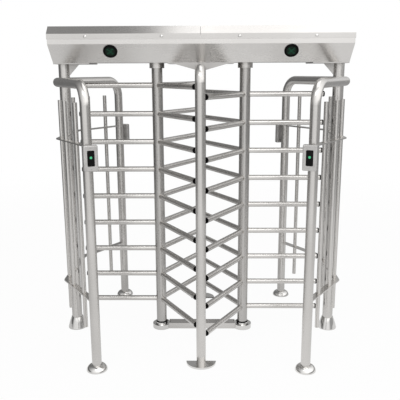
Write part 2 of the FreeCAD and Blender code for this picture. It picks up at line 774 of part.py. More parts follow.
def lid_screws():
    radius = S.screw_head / 2
    ball = (radius ** 2 + S.screw_dome ** 2) / (2 * S.screw_dome)
    screws = []
    for x, front in screw_places():
        dome = Part.makeSphere(ball, Vector(0, 0, S.screw_dome - ball))
        dome = dome.common(Part.makeCylinder(radius, S.screw_dome))
        length = S.lid_wall + S.lid_gap + S.header_wall
        screw = dome.fuse(Part.makeCylinder(S.screw_dia / 2, length, Vector(0, 0, -length)))
        face_y = S.header_depth / 2 + S.header_flare_y + S.lid_gap + S.lid_wall
        screw.Placement = FreeCAD.Placement(Vector(x, front * face_y, S.screw_height),
                                            FreeCAD.Rotation(Vector(1, 0, 0), -front * 90))
        screws.append(screw)
    node("lid_screws", feature(Part.makeCompound(screws)))


def lamps():
    bezels = []
    lenses = []
    for place in lamp_places():
        ring = Part.makeCylinder(S.bezel_radius, S.bezel_thickness)
        ring = ring.makeFillet(S.bezel_edge, [ring.Edges[0]])
        barrel = Part.makeCylinder(S.barrel_radius, S.barrel_length, Vector(0, 0, -S.barrel_length))
        seat = S.bezel_thickness - S.lens_sink - S.lens_thickness
        recess = Part.makeCylinder(S.lens_radius, S.bezel_thickness - seat, Vector(0, 0, seat))
        bezel = ring.fuse(barrel).cut(recess)
        lens = Part.makeCylinder(S.lens_radius, S.lens_thickness, Vector(0, 0, seat))
        bezel.Placement = place
        lens.Placement = place
        bezels.append(bezel)
        lenses.append(lens)
    node("lamp_bezels", feature(Part.makeCompound(bezels)))
    node("lamp_lenses", feature(Part.makeCompound(lenses)))


def control_box():
    node("control_box", box("box_length", "box_depth", "box_height", "-box_length / 2", "-box_depth / 2",
                            "header_bottom + header_wall"))


# Card readers on the four side posts

def reader_place(side, front):
    yaw = -side * S.reader_turn if front < 0 else 180 + side * S.reader_turn
    return FreeCAD.Placement(Vector(side * S.post_x, front * S.post_y, 0), FreeCAD.Rotation(UP, yaw))


def window_panel(depth, x, y):
    # A flat panel with rounded corners, seen from the front.
    panel = Part.makeBox(S.window_width, depth, S.window_height,
                         Vector(x - S.window_width / 2, y, S.reader_centre - S.window_height / 2))
    corners = [edge for edge in panel.Edges if abs(edge.Vertexes[0].Y - edge.Vertexes[-1].Y) > depth / 2]
    return panel.makeFillet(S.window_corner, corners)


def card_readers():
    windows = []
    back = S.post_dia / 2 + S.reader_standoff
    low = S.reader_centre - S.reader_height / 2
    for side in (-1, 1):
        for front in (-1, 1):
            shift = S.reader_shift * side * front
            case = Part.makeBox(S.reader_width, S.reader_depth, S.reader_height,
                                Vector(shift - S.reader_width / 2, -back - S.reader_depth, low))
            case = case.makeFillet(S.reader_edge, case.Edges)
            saddle = Part.makeBox(S.saddle_width, back, S.saddle_height,
                                  Vector(-S.saddle_width / 2, -back, S.reader_centre - S.saddle_height / 2))
            recess = window_panel(S.window_recess, shift, -back - S.reader_depth)
            post = Part.makeCylinder(S.post_dia / 2 + S.weld_gap, S.reader_height, Vector(0, 0, low))
            name = "%s_%s_reader" % ("front" if front < 0 else "rear", side_name(side))
            place = reader_place(side, front)
            node(name, feature(case.fuse(saddle).cut(recess).cut(post).removeSplitter(), place))
            window = window_panel(S.window_depth, shift,
                                  -back - S.reader_depth + S.window_recess - S.window_depth)
            window.Placement = place
            windows.append(window)
    node("reader_windows", feature(Part.makeCompound(windows)))


# Index and lock work, drawn about the rotor axis and then moved to it

def at_rotor(side):
    return FreeCAD.Placement(Vector(side * S.rotor_spacing / 2, 0, 0), FreeCAD.Rotation())


def flat_body(label, outline, height, z):
    # A plate cut to an outline, padded from its sketch.
    body = doc.addObject("PartDesign::Body", label)
    plane = [item for item in body.Origin.OriginFeatures if item.Role == "XY_Plane"][0]
    sketch = body.newObject("Sketcher::SketchObject", "Outline")
    sketch.AttachmentSupport = [(plane, "")]
    sketch.MapMode = "FlatFace"
    sketch.AttachmentOffset = FreeCAD.Placement(Vector(0, 0, z), FreeCAD.Rotation())
    for edge in outline:
        sketch.addGeometry(edge, False)
    pad = body.newObject("PartDesign::Pad", "Plate")
    pad.Profile = sketch
    pad.setExpression("Length", formula(height))
    body.Tip = pad
    return body


def lines(points):
    return [Part.LineSegment(a, b) for a, b in zip(points, points[1:] + points[:1])]


def bored(plate, radius, x, y):
    return cut(plate, rod(radius, "header_rim", x, y))


def index_disc(side):
    disc = rod("disc_radius", "disc_thickness", "0", "0", "disc_foot")
    hub = rod("hub_radius", "hub_height", "0", "0", "disc_foot + disc_thickness / 2 - hub_height / 2")
    notches = []
    for turn in range(S.notch_count):
        seat = turned_yaw(90 + 360 / S.notch_count * turn) * S.disc_radius
        notches.append(rod("roller_radius + roller_play", "disc_thickness", str(seat.x), str(seat.y),
                           "disc_foot"))
    thing = cut(fuse(disc, hub), group(notches), rod("spindle_dia / 2", "header_rim"))
    thing.Placement = at_rotor(side)
    node(side_name(side) + "_index_disc", thing)


def roller_rest_y():
    return S.disc_radius + S.roller_radius + S.rim_clearance


def index_lever(side):
    pivot = Vector(-S.lever_pivot_x, S.pivot_y, 0)
    nose = Vector(0, roller_rest_y(), 0)
    half = S.lever_width / 2
    points = [pivot + Vector(-half, -half, 0), nose + Vector(S.lever_nose, -half, 0),
              nose + Vector(S.lever_nose, half, 0), pivot + Vector(-half, half, 0)]
    plate = flat_body(side_name(side) + "_lever_plate", lines(points), "lever_thickness", S.lever_foot)
    lever = bored(plate, "pivot_dia / 2 + running_fit", str(pivot.x), str(pivot.y))
    pin = rod("roller_pin / 2", "disc_foot + disc_thickness + pin_stand - lever_foot",
              "0", str(nose.y), "lever_foot")
    thing = fuse(lever, pin)
    thing.Placement = at_rotor(side)
    node(side_name(side) + "_index_lever", thing)


def index_roller(side):
    y = "disc_radius + roller_radius + rim_clearance"
    roller = cut(rod("roller_radius", "disc_thickness", "0", y, "disc_foot"),
                 rod("roller_pin / 2 + running_fit", "disc_thickness", "0", y, "disc_foot"))
    roller.Placement = at_rotor(side)
    node(side_name(side) + "_index_roller", roller)


def index_spring(side):
    start = roller_rest_y() + S.lever_width / 2 + S.cover_gap
    length = S.spring_stop - S.cover_gap - start
    travel = length - S.spring_wire
    path = Part.makeHelix(travel / S.spring_turns, travel, S.spring_radius - S.spring_wire / 2)
    ring = Part.Wire(Part.makeCircle(S.spring_wire / 2, Vector(S.spring_radius - S.spring_wire / 2, 0, 0),
                                     Vector(0, 1, 0)))
    coil = path.makePipeShell([ring], True, True)
    place = FreeCAD.Placement(Vector(side * S.rotor_spacing / 2 + S.spring_x, start + S.spring_wire / 2,
                                     S.lever_foot + S.lever_thickness / 2),
                              FreeCAD.Rotation(Vector(1, 0, 0), -90))
    node(side_name(side) + "_index_spring", feature(coil, place))


def lock_pawl(side):
    # An arm round the outside of the disc, with a rounded nose for its notches.
    pivot = Vector(-S.lever_pivot_x, -S.pivot_y, 0)
    nose = Vector(0, -roller_rest_y(), 0)
    half = S.pawl_width / 2
    beside = Vector(S.roller_radius, 0, 0)
    inner = half - S.pawl_bow
    outer = -half - S.pawl_bow
    tail = S.plunger_x + S.plunger_dia
    points = [nose + beside, Vector(S.roller_radius, inner, 0), Vector(tail, inner, 0),
              Vector(tail, outer, 0), Vector(-S.roller_radius, outer, 0), pivot + Vector(-half, -half, 0),
              pivot + Vector(-half, half, 0), Vector(-S.roller_radius, inner, 0), nose - beside]
    edges = [Part.LineSegment(a, b) for a, b in zip(points, points[1:])]
    edges.append(Part.Arc(nose - beside, nose + Vector(0, S.roller_radius, 0), nose + beside))
    plate = flat_body(side_name(side) + "_pawl_plate", edges, "disc_thickness", S.disc_foot)
    thing = bored(plate, "pivot_dia / 2 + running_fit", str(pivot.x), str(pivot.y))
    thing.Placement = at_rotor(side)
    node(side_name(side) + "_lock_pawl", thing)


def pivot_studs():
    studs = []
    floor = "header_bottom + header_wall"
    for side in (-1, 1):
        for front, seat in ((1, "lever_foot"), (-1, "disc_foot")):
            x = "%s - lever_pivot_x" % rotor_x(side)
            y = signed(front, "pivot_y")
            shoulder = rod("shoulder_radius", "%s - cover_gap - (%s)" % (seat, floor), x, y, floor)
            stud = rod("pivot_dia / 2", "%s + disc_thickness + stud_stand - (%s)" % (seat, floor),
                       x, y, floor)
            studs.append(fuse(shoulder, stud))
    node("pivot_studs", group(studs))


def plunger_tip_y():
    return -(S.pawl_bow + S.pawl_width / 2 + S.plunger_gap)


def solenoid(side):
    middle = S.disc_foot + S.disc_thickness / 2
    front_y = plunger_tip_y() - S.plunger_dia
    coil = Part.makeBox(S.coil_side, S.coil_back + front_y, S.coil_side,
                        Vector(S.plunger_x - S.coil_side / 2, -S.coil_back, middle - S.coil_side / 2))
    floor = S.header_bottom + S.header_wall
    foot = Part.makeBox(S.coil_side, S.coil_side / 2, middle - S.coil_side / 2 - floor,
                        Vector(S.plunger_x - S.coil_side / 2, front_y - S.coil_side / 2, floor))
    depth = S.plunger_hold + S.bore_spare
    bore = Part.makeCylinder(S.plunger_dia / 2 + S.running_fit, depth,
                             Vector(S.plunger_x, front_y - depth, middle), Vector(0, 1, 0))
    node(side_name(side) + "_solenoid", feature(coil.fuse(foot).cut(bore), at_rotor(side)))


def solenoid_plunger(side):
    middle = S.disc_foot + S.disc_thickness / 2
    start = plunger_tip_y() - S.plunger_dia - S.plunger_hold
    rod_shape = Part.makeCylinder(S.plunger_dia / 2, plunger_tip_y() - start,
                                  Vector(S.plunger_x, start, middle), Vector(0, 1, 0))
    node(side_name(side) + "_solenoid_plunger", feature(rod_shape, at_rotor(side)))


# Assembly

for side in (-1, 1):
    side_hoop(side)
    pillar(side)
    side_bracket(side)
    guard_tubes(side)
    guard_band(side, "upper")
    guard_band(side, "lower")
centre_hoop()
centre_bracket()
post_flanges()
foot_covers()
floor_bearings()
bearing_bolts()
base_beam()
column_seals()
header_body()
for side in (-1, 1):
    lid(side)
lid_screws()
lamps()
control_box()
card_readers()
top_bearings()
pivot_studs()
for side in (-1, 1):
    rotor_column(side)
    for wing_name, wing_yaw in wing_yaws(side).items():
        wing(side, wing_name, wing_yaw)
    arm_caps(side)
    top_housing(side)
    index_disc(side)
    index_lever(side)
    index_roller(side)
    index_spring(side)
    lock_pawl(side)
    solenoid(side)
    solenoid_plunger(side)

doc.recompute()

for thing in doc.Objects:
    if "Invalid" in thing.State or "Error" in thing.State:
        raise RuntimeError("failed: %s %s" % (thing.Name, thing.State))
os.makedirs("parts", exist_ok=True)
for thing in nodes:
    shape = thing.Shape
    if shape.isNull() or not shape.isValid():
        raise RuntimeError("bad shape: " + thing.Label)
for thing in nodes:
    shape = thing.Shape
    shape.exportStep("parts/%s.step" % thing.Label)
    print("%-28s solids %2d volume %.0f" % (thing.Label, len(shape.Solids), shape.Volume))
print("nodes", len(nodes))
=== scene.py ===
import math

import bmesh
import bpy
from mathutils import Matrix, Vector


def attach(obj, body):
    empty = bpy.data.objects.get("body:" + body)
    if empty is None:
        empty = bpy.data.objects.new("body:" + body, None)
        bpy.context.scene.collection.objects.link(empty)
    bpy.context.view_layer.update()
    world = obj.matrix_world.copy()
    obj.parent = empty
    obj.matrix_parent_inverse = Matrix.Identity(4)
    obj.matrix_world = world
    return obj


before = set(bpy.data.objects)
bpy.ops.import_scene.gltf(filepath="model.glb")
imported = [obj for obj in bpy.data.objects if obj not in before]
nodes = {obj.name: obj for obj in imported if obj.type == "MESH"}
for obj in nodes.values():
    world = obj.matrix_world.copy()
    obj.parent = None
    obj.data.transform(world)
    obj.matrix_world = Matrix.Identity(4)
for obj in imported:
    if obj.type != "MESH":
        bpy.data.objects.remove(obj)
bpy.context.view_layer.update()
print("frame loaded:", len(nodes), "nodes")


# node maths: a wrapped socket, so that an expression on values adds its Math nodes

class Signal:
    def __init__(self, bench, socket):
        self.bench = bench
        self.socket = socket

    def __add__(self, other):
        return self.bench.math("ADD", self, other)

    def __radd__(self, other):
        return self.bench.math("ADD", other, self)

    def __sub__(self, other):
        return self.bench.math("SUBTRACT", self, other)

    def __rsub__(self, other):
        return self.bench.math("SUBTRACT", other, self)

    def __mul__(self, other):
        return self.bench.math("MULTIPLY", self, other)

    def __rmul__(self, other):
        return self.bench.math("MULTIPLY", other, self)

    def __truediv__(self, other):
        return self.bench.math("DIVIDE", self, other)

    def __rtruediv__(self, other):
        return self.bench.math("DIVIDE", other, self)

    def __pow__(self, exponent):
        return self.bench.math("POWER", self, exponent)

    def __gt__(self, limit):
        return self.bench.math("GREATER_THAN", self, limit)

    def __lt__(self, limit):
        return self.bench.math("LESS_THAN", self, limit)

    def __abs__(self):
        return self.bench.math("ABSOLUTE", self)

    def either(self, other):
        return self.bench.math("MAXIMUM", self, other)

    def between(self, low, high):
        # 0 at low, 1 at high, eased
        return self.bench.node("ShaderNodeMapRange", {"interpolation_type": "SMOOTHSTEP"},
                               {"Value": self, "From Min": low, "From Max": high}, "Result")

    def beside(self, name):
        # another output of the same node
        return Signal(self.bench, self.socket.node.outputs[name])


class Bench:
    # a node tree in the making; every node comes from node()
    def __init__(self, tree):
        self.tree = tree

    def node(self, kind, settings=None, inputs=None, output=0):
        made = self.tree.nodes.new(kind)
        for key, value in (settings or {}).items():
            setattr(made, key, value)
        for key, value in (inputs or {}).items():
            self.plug(made.inputs[key], value)
        return Signal(self, made.outputs[output]) if made.outputs else made

    def plug(self, slot, value):
        if isinstance(value, list):
            for one in value:
                self.plug(slot, one)
        elif isinstance(value, Signal):
            self.tree.links.new(value.socket, slot)
        elif slot.type == "RGBA" and len(value) == 3:
            slot.default_value = (*value, 1)
        else:
            slot.default_value = value

    def math(self, operation, *values):
        return self.node("ShaderNodeMath", {"operation": operation}, dict(enumerate(values)))

    def spread(self, vector):
        x = self.node("ShaderNodeSeparateXYZ", inputs={"Vector": vector}, output="X")
        return x, x.beside("Y"), x.beside("Z")


class Finish(Bench):
    # a material with a Principled shader
    def __init__(self, name):
        self.material = bpy.data.materials.new(name)
        self.material.use_nodes = True
        super().__init__(self.material.node_tree)
        self.shader = self.tree.nodes["Principled BSDF"]

    def place(self, stretch=(1, 1, 1), turn=0.0):
        # object coordinates turned about Z by some degrees, then stretched
        position = self.node("ShaderNodeTexCoord", output="Object")
        return self.node("ShaderNodeMapping", {"vector_type": "TEXTURE"},
                         {"Vector": position, "Rotation": (0, 0, math.radians(turn)),
                          "Scale": tuple(1 / amount for amount in stretch)})

    def noise(self, scale, where, detail=3.0, roughness=0.5):
        return self.node("ShaderNodeTexNoise", inputs={"Vector": where, "Scale": scale, "Detail": detail,
                                                       "Roughness": roughness}, output="Fac")

    def blend(self, mask, first, second):
        return self.node("ShaderNodeMix", {"data_type": "RGBA"},
                         {"Factor": mask, 6: first, 7: second}, output=2)

    def bump(self, height, strength, distance):
        return self.node("ShaderNodeBump", inputs={"Height": height, "Strength": strength,
                                                   "Distance": distance})

    def set(self, **sockets):
        for key, value in sockets.items():
            self.plug(self.shader.inputs[key.replace("_", " ")], value)
        return self.material

    def surface(self, shader):
        self.tree.nodes.remove(self.shader)
        self.tree.links.new(shader.socket, self.tree.nodes["Material Output"].inputs["Surface"])
        return self.material


# stainless steel finishes

steel = {
    "tone": (0.615, 0.600, 0.582),  # satin tube
    "darkTone": (0.555, 0.540, 0.522),  # where hands and dust dull it
    "roughness": 0.22,
    "roughnessSpread": 0.08,
    "grain": 0.003,  # strength of the brushed lines
    "grainDepth": 0.001,
    "linesAcross": 520,  # noise per metre across the polishing lines
    "linesAlong": 4,  # and along them
    "clouds": 2.6,
    "cloudShare": 0.7,  # of the dulling; the lines have the rest
    "dullEdge": (0.35, 0.7),
    "dust": 38,
    "dustSpread": 0.04,
}


def brushedSteel(name, along, turn=0.0, tone=steel["tone"], dark=steel["darkTone"],
                 roughness=steel["roughness"], grain=steel["grain"]):
    # along is the axis of the polishing lines (0 X, 1 Y, 2 Z), after a turn about Z in degrees
    finish = Finish(name)
    stretch = [steel["linesAcross"]] * 3
    stretch[along] = steel["linesAlong"]
    lines = finish.noise(1.0, finish.place(stretch, turn), detail=4, roughness=0.6)
    clouds = finish.noise(steel["clouds"], finish.place(), detail=4)
    dust = finish.noise(steel["dust"], finish.place(), detail=2)
    share = steel["cloudShare"]
    dull = (clouds * share + lines * (1 - share)).between(*steel["dullEdge"])
    return finish.set(
        Base_Color=finish.blend(dull, tone, dark),
        Metallic=1.0,
        Roughness=roughness + steel["roughnessSpread"] * dull + steel["dustSpread"] * (dust - 0.5),
        Normal=finish.bump(lines, grain, steel["grainDepth"]),
    )


satinUpright = brushedSteel("satin_upright", 2)
# the upright satin steel painted darker: painted shade for the rotor columns standing under the header
columnSteelPaintedShade = brushedSteel("column_steel", 2, tone=(0.495, 0.483, 0.469), dark=(0.445, 0.433, 0.420))
satinAcross = brushedSteel("satin_across", 1)
satinAlong = brushedSteel("satin_along", 0)
satinLeftward = brushedSteel("satin_leftward", 0, turn=-60)
satinRightward = brushedSteel("satin_rightward", 0, turn=60)
headerSheet = brushedSteel("header_sheet", 0, tone=(0.640, 0.626, 0.610), dark=(0.600, 0.586, 0.570),
                           roughness=0.23)
# the lid is the header's stainless sheet painted darker: painted shade for the lid's skirt
lidSheetPaintedShade = brushedSteel("lid_sheet", 0, tone=(0.580, 0.567, 0.552), dark=(0.535, 0.522, 0.508),
                        roughness=0.19)
plateSteel = brushedSteel("plate_steel", 0, tone=(0.480, 0.468, 0.455), dark=(0.400, 0.390, 0.380),
                          roughness=0.28)
polishedSteel = brushedSteel("polished_steel", 0, tone=(0.70, 0.69, 0.675), dark=(0.66, 0.65, 0.635),
                             roughness=0.06, grain=0.002)
machinedSteel = brushedSteel("machined_steel", 1, tone=(0.46, 0.455, 0.45), dark=(0.36, 0.355, 0.35),
                             roughness=0.3)
boltSteel = brushedSteel("bolt_steel", 1, tone=(0.20, 0.197, 0.193), dark=(0.12, 0.118, 0.116),
                         roughness=0.34)
springSteel = brushedSteel("spring_steel", 1, tone=(0.33, 0.32, 0.31), dark=(0.24, 0.235, 0.23),
                           roughness=0.34)


def weldFinish():
    # ripples run across the bead, with a faint straw tint from the heat
    finish = Finish("weld_bead")
    ripples = finish.noise(420, finish.place(), detail=2)
    heat = finish.noise(55, finish.place(), detail=3).between(0.45, 0.75)
    return finish.set(Base_Color=finish.blend(heat, (0.55, 0.535, 0.515), (0.40, 0.355, 0.295)),
                      Metallic=1.0, Roughness=0.34 + 0.14 * heat,
                      Normal=finish.bump(ripples, 0.35, 0.0008))


weldSteel = weldFinish()
print("steel finishes ready")


# rubber, lamps, readers and boxes

def rubberFinish():
    finish = Finish("cap_rubber")
    pores = finish.noise(900, finish.place(), detail=2)
    wear = finish.noise(45, finish.place(), detail=4).between(0.5, 0.75)
    return finish.set(Base_Color=finish.blend(wear, (0.002, 0.002, 0.002), (0.007, 0.007, 0.007)),
                      Roughness=0.55 + 0.2 * wear, Specular_IOR_Level=0.06,
                      Normal=finish.bump(pores, 0.15, 0.0006))


def bezelFinish():
    finish = Finish("lamp_bezel")
    pores = finish.noise(700, finish.place(), detail=2)
    wear = finish.noise(60, finish.place(), detail=3).between(0.45, 0.8)
    return finish.set(Base_Color=finish.blend(wear, (0.002, 0.002, 0.002), (0.006, 0.006, 0.006)),
                      Roughness=0.36 + 0.15 * wear, Specular_IOR_Level=0.06,
                      Normal=finish.bump(pores, 0.08, 0.0005))


def lensFinish():
    finish = Finish("lamp_lens")
    smears = finish.noise(60, finish.place(), detail=4).between(0.4, 0.8)
    return finish.set(Base_Color=finish.blend(smears, (0.002, 0.010, 0.005), (0.004, 0.018, 0.010)),
                      Roughness=0.18 + 0.12 * smears, Specular_IOR_Level=0.15)


def lampDotFinish(name, dim, bright, glow):
    finish = Finish(name)
    cloud = finish.noise(300, finish.place(), detail=2).between(0.3, 0.7)
    return finish.set(Base_Color=finish.blend(cloud, dim, bright), Roughness=0.3 + 0.1 * cloud,
                      Specular_IOR_Level=0.2, Emission_Strength=1.0,
                      Emission_Color=finish.blend(cloud, tuple(part * 0.6 for part in glow), glow))


def readerCaseFinish():
    finish = Finish("reader_case")
    pores = finish.noise(1400, finish.place(), detail=2)
    wear = finish.noise(24, finish.place(), detail=4).between(0.4, 0.75)
    return finish.set(Base_Color=finish.blend(wear, (0.50, 0.49, 0.48), (0.42, 0.41, 0.40)),
                      Metallic=0.45, Roughness=0.34 + 0.12 * wear,
                      Normal=finish.bump(pores, 0.06, 0.0004))


def readerGlassFinish():
    finish = Finish("reader_glass")
    smears = finish.noise(34, finish.place((1, 1, 0.4)), detail=5).between(0.45, 0.8)
    return finish.set(Base_Color=finish.blend(smears, (0.002, 0.002, 0.002), (0.006, 0.006, 0.007)),
                      Roughness=0.07 + 0.12 * smears, Specular_IOR_Level=0.12)


def paintedFinish(name, tone, dark, roughness):
    finish = Finish(name)
    peel = finish.noise(420, finish.place(), detail=2)
    dust = finish.noise(14, finish.place(), detail=5).between(0.4, 0.72)
    return finish.set(Base_Color=finish.blend(dust, tone, dark), Roughness=roughness + 0.15 * dust,
                      Normal=finish.bump(peel, 0.12, 0.0005))


rubber = rubberFinish()
bezelBlack = bezelFinish()
lensGreen = lensFinish()
dotDark = lampDotFinish("lamp_dot_dark", (0.002, 0.012, 0.006), (0.004, 0.022, 0.012), (0.0, 0.0, 0.0))
dotGreen = lampDotFinish("lamp_dot_green", (0.004, 0.05, 0.024), (0.008, 0.09, 0.045),
                         (0.003, 0.045, 0.022))
readerCase = readerCaseFinish()
readerGlass = readerGlassFinish()
readerGlow = lampDotFinish("reader_light", (0.02, 0.16, 0.08), (0.03, 0.22, 0.11), (0.08, 0.46, 0.22))
boxGrey = paintedFinish("box_grey", (0.45, 0.46, 0.47), (0.37, 0.38, 0.39), 0.5)
coilBlue = paintedFinish("coil_blue", (0.08, 0.10, 0.16), (0.055, 0.07, 0.11), 0.45)
print("other finishes ready")


# which finish each node wears

wears = {
    "side_hoop": satinUpright, "pillar": satinUpright, "header_bracket": plateSteel,
    "guard_tubes": satinUpright, "upper_band": satinAcross, "lower_band": satinAcross,
    "lid": lidSheetPaintedShade, "rotor_column": columnSteelPaintedShade, "rotor_outer_wing": satinAlong,
    "left_rotor_front_wing": satinLeftward, "left_rotor_rear_wing": satinRightward,
    "right_rotor_front_wing": satinRightward, "right_rotor_rear_wing": satinLeftward,
    "arm_caps": rubber,
    "top_housing": satinUpright, "index_disc": machinedSteel, "index_lever": machinedSteel,
    "index_roller": machinedSteel, "index_spring": springSteel, "lock_pawl": machinedSteel,
    "solenoid": coilBlue, "solenoid_plunger": machinedSteel, "reader": readerCase,
}
wearsWhole = {
    "centre_hoop": satinUpright, "centre_header_bracket": plateSteel, "post_flanges": plateSteel,
    "foot_covers": polishedSteel, "base_beam": satinAlong, "floor_bearing_housings": polishedSteel,
    "bearing_bolts": boltSteel, "column_seals": rubber, "header_body": headerSheet,
    "lid_screws": polishedSteel, "lamp_bezels": bezelBlack, "lamp_lenses": lensGreen,
    "control_box": boxGrey, "reader_windows": readerGlass, "top_bearings": machinedSteel,
    "pivot_studs": machinedSteel,
}


def finishFor(name):
    if name in wearsWhole:
        return wearsWhole[name]
    for ending, finish in wears.items():
        if name.endswith(ending):
            return finish
    raise ValueError("no finish for " + name)


for name, thing in nodes.items():
    thing.data.materials.clear()
    thing.data.materials.append(finishFor(name))
print("every node has its finish")


# pieces: each gets its object, its body and its material slot

def piece(name, mesh, body):
    thing = bpy.data.objects.new(name, mesh)
    bpy.context.scene.collection.objects.link(thing)
    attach(thing, body)
    return thing


def outward(mesh):
    shape = bmesh.new()
    shape.from_mesh(mesh)
    bmesh.ops.recalc_face_normals(shape, faces=shape.faces)
    shape.to_mesh(mesh)
    shape.free()
    return mesh


class Recipe(Bench):
    # a Geometry Nodes tree whose sizes are named inputs
    def __init__(self, name):
        super().__init__(bpy.data.node_groups.new(name, "GeometryNodeTree"))
        for way in ("INPUT", "OUTPUT"):
            self.tree.interface.new_socket("Geometry", in_out=way, socket_type="NodeSocketGeometry")
        self.points = self.node("NodeGroupInput")
        self.values = {}

    def size(self, name, value):
        kind = "NodeSocketInt" if isinstance(value, int) else "NodeSocketFloat"
        entry = self.tree.interface.new_socket(name, in_out="INPUT", socket_type=kind)
        self.values[entry.identifier] = value
        return self.points.beside(name)

    def vector(self, x=0.0, y=0.0, z=0.0):
        return self.node("ShaderNodeCombineXYZ", inputs={"X": x, "Y": y, "Z": z})

    def dress(self, geometry, finish, where=None):
        inputs = {"Geometry": geometry, "Material": finish}
        if where is not None:
            inputs["Selection"] = where
        return self.node("GeometryNodeSetMaterial", inputs=inputs)

    def cook(self, geometry, places=((0, 0, 0),)):
        # runs the tree on a mesh of loose points and gives the result as a plain mesh
        self.node("NodeGroupOutput", inputs={"Geometry": geometry})
        seedMesh = bpy.data.meshes.new(self.tree.name + "_points")
        seedMesh.from_pydata([tuple(place) for place in places], [], [])
        seed = bpy.data.objects.new(self.tree.name, seedMesh)
        bpy.context.scene.collection.objects.link(seed)
        modifier = seed.modifiers.new("recipe", "NODES")
        modifier.node_group = self.tree
        for identifier, value in self.values.items():
            modifier[identifier] = value
        settled = seed.evaluated_get(bpy.context.evaluated_depsgraph_get())
        mesh = bpy.data.meshes.new_from_object(settled)
        mesh.name = self.tree.name
        seed.modifiers.remove(modifier)
        bpy.data.objects.remove(seed)
        return outward(mesh)


# weld beads where the arms meet their column

armWelds = {
    "armRadius": 0.019,
    "columnRadius": 0.038,
    "bead": 0.0024,
    "levels": 9,
    "pitch": 0.200,
    "lowest": {"left": 0.236, "right": 0.172},
    "axis": {"left": -0.31, "right": 0.31},
    "firstYaw": {"left": 60.0, "right": 0.0},
    "wings": 3,
    "ringSteps": 28,  # points round an arm
    "beadSteps": 7,  # and round the bead's section
}


def makeArmWelds(side):
    recipe = Recipe(side + "_arm_welds")
    armRadius = recipe.size("Arm radius", armWelds["armRadius"])
    columnRadius = recipe.size("Column radius", armWelds["columnRadius"])
    bead = recipe.size("Bead", armWelds["bead"])
    levels = recipe.size("Levels", armWelds["levels"])
    pitch = recipe.size("Pitch", armWelds["pitch"])
    lowest = recipe.size("Lowest arm", armWelds["lowest"][side])
    axis = recipe.size("Column place", armWelds["axis"][side])
    firstYaw = recipe.size("First yaw", math.radians(armWelds["firstYaw"][side]))

    # a circle wrapped on to the column's surface
    circle = recipe.node("GeometryNodeCurvePrimitiveCircle",
                         inputs={"Resolution": armWelds["ringSteps"], "Radius": armRadius})
    across, along, _ = recipe.spread(recipe.node("GeometryNodeInputPosition"))
    reach = (columnRadius ** 2 - across ** 2) ** 0.5
    saddle = recipe.node("GeometryNodeSetPosition",
                         inputs={"Geometry": circle, "Position": recipe.vector(reach, across, along)})
    section = recipe.node("GeometryNodeCurvePrimitiveCircle",
                          inputs={"Resolution": armWelds["beadSteps"], "Radius": bead})
    ring = recipe.node("GeometryNodeCurveToMesh", inputs={"Curve": saddle, "Profile Curve": section})

    stack = recipe.node("GeometryNodeMeshLine", inputs={
        "Count": levels, "Start Location": recipe.vector(z=lowest), "Offset": recipe.vector(z=pitch)})
    tier = recipe.node("GeometryNodeInstanceOnPoints", inputs={"Points": stack, "Instance": ring})
    wings = recipe.node("GeometryNodeMeshLine", inputs={
        "Count": armWelds["wings"], "Start Location": recipe.vector(x=axis), "Offset": (0, 0, 0)})
    yaw = firstYaw + recipe.node("GeometryNodeInputIndex") * (math.tau / armWelds["wings"])
    whole = recipe.node("GeometryNodeInstanceOnPoints",
                        inputs={"Points": wings, "Instance": tier, "Rotation": recipe.vector(z=yaw)})
    solid = recipe.node("GeometryNodeRealizeInstances", inputs={"Geometry": whole})
    mesh = recipe.cook(recipe.dress(solid, weldSteel))
    piece(side + "_arm_welds", mesh, side + "_rotor")


for side in ("left", "right"):
    makeArmWelds(side)
print("arm welds ready")


# weld beads where the guard tubes pass their bands

guards = {
    "tubeRadius": 0.014,
    "bead": 0.0018,
    "bandHeights": (0.481, 1.490),
    "bandThickness": 0.008,
    "postX": 0.690,
    "postY": 0.663,
    "cornerX": 0.957,
    "cornerY": 0.267,
    "innerY": 0.198,
    "shares": (0.72, 0.34),  # of the way from post to corner
    "ringSteps": 24,
    "beadSteps": 7,
}


def guardPlaces():
    spots = []
    for side in (-1, 1):
        for front in (-1, 1):
            spots.append((side * guards["cornerX"], front * guards["innerY"]))
            for share in guards["shares"]:
                x = guards["postX"] + (guards["cornerX"] - guards["postX"]) * share
                y = guards["postY"] + (guards["cornerY"] - guards["postY"]) * share
                spots.append((side * x, front * y))
    return spots


def makeGuardWelds():
    recipe = Recipe("guard_welds")
    tubeRadius = recipe.size("Tube radius", guards["tubeRadius"])
    bead = recipe.size("Bead", guards["bead"])
    circle = recipe.node("GeometryNodeCurvePrimitiveCircle",
                         inputs={"Resolution": guards["ringSteps"], "Radius": tubeRadius})
    section = recipe.node("GeometryNodeCurvePrimitiveCircle",
                          inputs={"Resolution": guards["beadSteps"], "Radius": bead})
    ring = recipe.node("GeometryNodeCurveToMesh", inputs={"Curve": circle, "Profile Curve": section})
    rings = recipe.node("GeometryNodeInstanceOnPoints", inputs={"Points": recipe.points, "Instance": ring})
    solid = recipe.node("GeometryNodeRealizeInstances", inputs={"Geometry": rings})
    half = guards["bandThickness"] / 2 + guards["bead"] / 2
    places = [(x, y, height + step) for x, y in guardPlaces() for height in guards["bandHeights"]
              for step in (-half, half)]
    mesh = recipe.cook(recipe.dress(solid, weldSteel), places)
    piece("guard_welds", mesh, "frame")


makeGuardWelds()
print("guard welds ready")


# indicator lamps: a board of small light dots with a plain cross

lampBoard = {
    "reach": 0.030,
    "pitch": 0.0046,
    "dot": 0.0017,
    "dotSegments": 8,
    "dotRings": 5,
    "dotFlatness": 0.5,
    "stroke": 0.0062,  # half the width of the cross's arms
    "slant": 1.414,  # the arms lie at 45 degrees
    "lampX": 0.6015,
    "faceY": 0.15 + 0.082 * 74 / 119,  # 74 mm up a side that leans out 82 mm in 119 mm
    "lampZ": 2.063,
    "lean": math.degrees(math.atan2(82, 119)),
    "lensFace": 0.005,  # lens in front of the sheet
}


